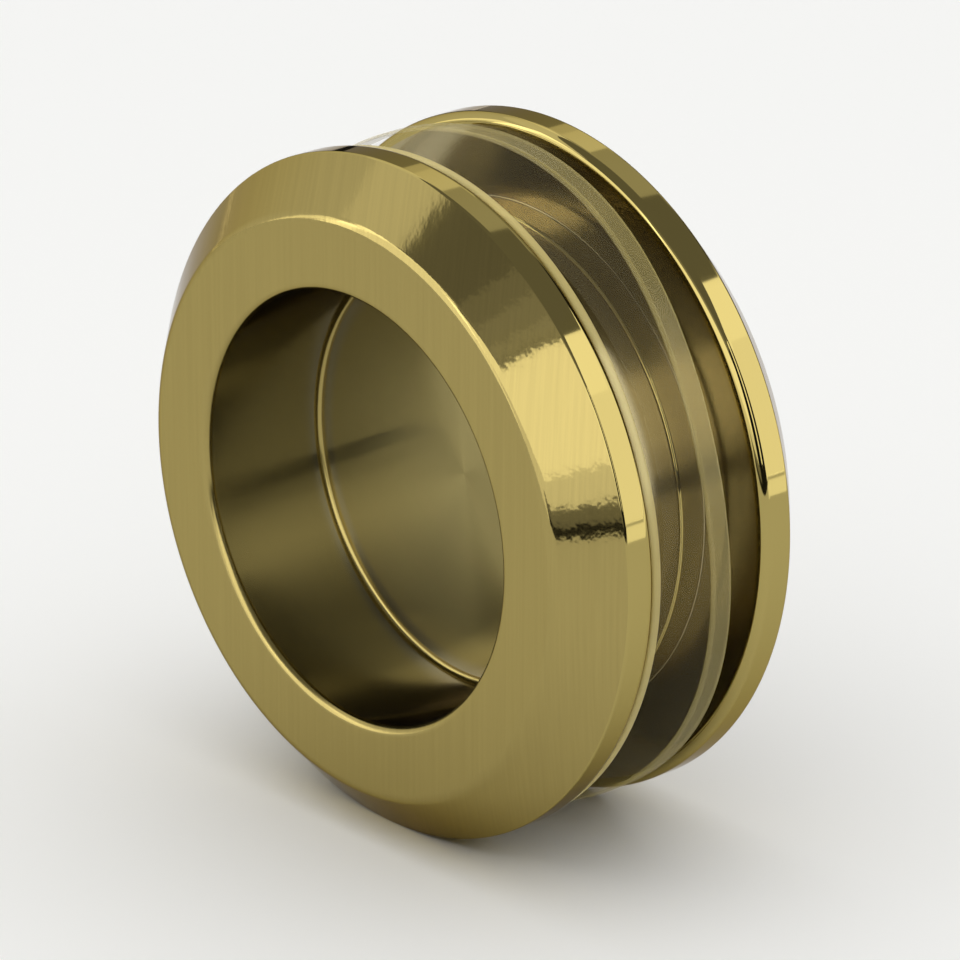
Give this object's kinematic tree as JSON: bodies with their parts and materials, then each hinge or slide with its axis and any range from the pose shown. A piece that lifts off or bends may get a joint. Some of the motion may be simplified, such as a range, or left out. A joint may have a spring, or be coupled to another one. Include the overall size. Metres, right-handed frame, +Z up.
{
  "type": "finger pull",
  "caption": "Round back-to-back finger pull for a glass door: two turned brass cups joined through the glass, with clear washers between flange and glass.",
  "frame": {"origin": "on the axis, midway between the front and rear faces", "axes": "+Y along the axis from the front face to the rear face, +Z up"},
  "size_m": [0.065, 0.0292, 0.065],
  "materials": {
    "satin_brass": "brushed faces, polished rim and barrel",
    "clear_vinyl": "clear, smooth"
  },
  "bodies": {
    "root": {"front_cup": "satin_brass", "rear_cup": "satin_brass", "front_washer": "clear_vinyl", "rear_washer": "clear_vinyl"}
  },
  "joints": []
}
